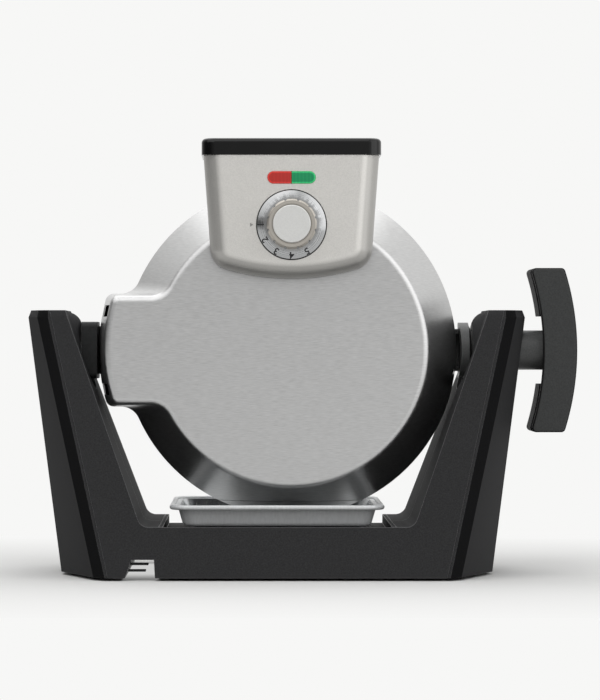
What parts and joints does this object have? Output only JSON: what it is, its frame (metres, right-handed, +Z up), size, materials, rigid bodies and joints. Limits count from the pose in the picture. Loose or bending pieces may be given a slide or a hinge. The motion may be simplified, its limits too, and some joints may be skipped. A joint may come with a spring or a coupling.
{
  "type": "rotary waffle maker",
  "caption": "Round steel waffle cooker with a control box, carried on an axle between the arms of a black U-shaped stand, with a crescent turning handle and a drip tray.",
  "frame": {"origin": "on the floor under the middle of the whole object, with the axle along X", "axes": "+X along the axle towards the handle, +Y from the control panel side to the back, +Z up"},
  "size_m": [0.3862, 0.172, 0.303],
  "materials": {
    "stand": "satin",
    "rubber": "matt",
    "screw_steel": "plated",
    "bush": "matt",
    "tray_steel": "satin",
    "cover_steel": "brushed level",
    "rim_black": "satin",
    "nonstick": "nonstick coat",
    "element": "dark",
    "reflector": "bright",
    "hinge_black": "satin",
    "shaft_steel": "ground",
    "shaft_black": "satin",
    "handle_black": "satin",
    "handle_core": "matt",
    "box_black": "gloss",
    "panel_silver": "metallic paint",
    "lens_red": "clear",
    "lens_green": "clear",
    "thermostat": "matt",
    "dial_silver": "metallic paint",
    "dial_black": "satin"
  },
  "bodies": {
    "base": {"base_front_shell": "stand", "base_rear_shell": "stand", "left_side_cover": "stand", "right_side_cover": "stand", "tray_seat_insert": "stand", "cord_channel": "stand", "right_bearing": "stand", "left_bearing": "stand", "base_bottom_plate": "stand", "base_left_plate": "stand", "base_screws": "screw_steel", "rubber_feet": "rubber", "right_bush": "bush", "left_bush": "bush"},
    "tray": {"drip_tray": "tray_steel"},
    "cooker": {"rear_cover": "cover_steel", "overflow_lip": "cover_steel", "rear_rim": "rim_black", "rear_plate": "nonstick", "rear_cover_screws": "screw_steel", "rear_element": "element", "rear_reflector": "reflector", "hinge_bracket": "hinge_black", "hinge_pin": "screw_steel", "left_trunnion": "shaft_steel", "left_snap_ring": "screw_steel", "axle_boss": "hinge_black", "handle_shaft": "shaft_black", "right_snap_ring": "screw_steel", "handle_front": "handle_black", "handle_rear": "handle_black", "handle_core": "handle_core", "handle_screws": "screw_steel"},
    "lid": {"front_cover": "cover_steel", "front_rim": "rim_black", "front_plate": "nonstick", "front_element": "element", "front_reflector": "reflector", "lid_knuckle": "shaft_steel", "control_housing": "box_black", "control_panel": "panel_silver", "control_end_cap": "box_black", "red_lens": "lens_red", "green_lens": "lens_green", "thermostat": "thermostat"},
    "dial": {"dial_skirt": "dial_silver", "dial_grip": "dial_black", "dial_cap": "dial_silver"},
    "lock": {"lock_bolt": "screw_steel"}
  },
  "joints": [
    {"name": "flip", "type": "hinge", "parent": "base", "child": "cooker", "pos_m": [0, 0, 0.157], "axis": [-1, 0, 0], "range_deg": [-90, 90]},
    {"name": "lid_open", "type": "hinge", "parent": "cooker", "child": "lid", "pos_m": [-0.13048, -0.0365, 0.157], "axis": [0, 0, -1], "range_deg": [0, 90]},
    {"name": "dial_turn", "type": "hinge", "parent": "lid", "child": "dial", "pos_m": [-0.00828, -0.064, 0.2433], "axis": [0, 1, 0], "range_deg": [0, 120]},
    {"name": "tray_slide", "type": "slide", "parent": "base", "child": "tray", "axis": [0, 1, 0], "range_m": [0, 0.03]},
    {"name": "lock_slide", "type": "slide", "parent": "cooker", "child": "lock", "axis": [1, 0, 0], "range_m": [-0.006, 0]}
  ]
}
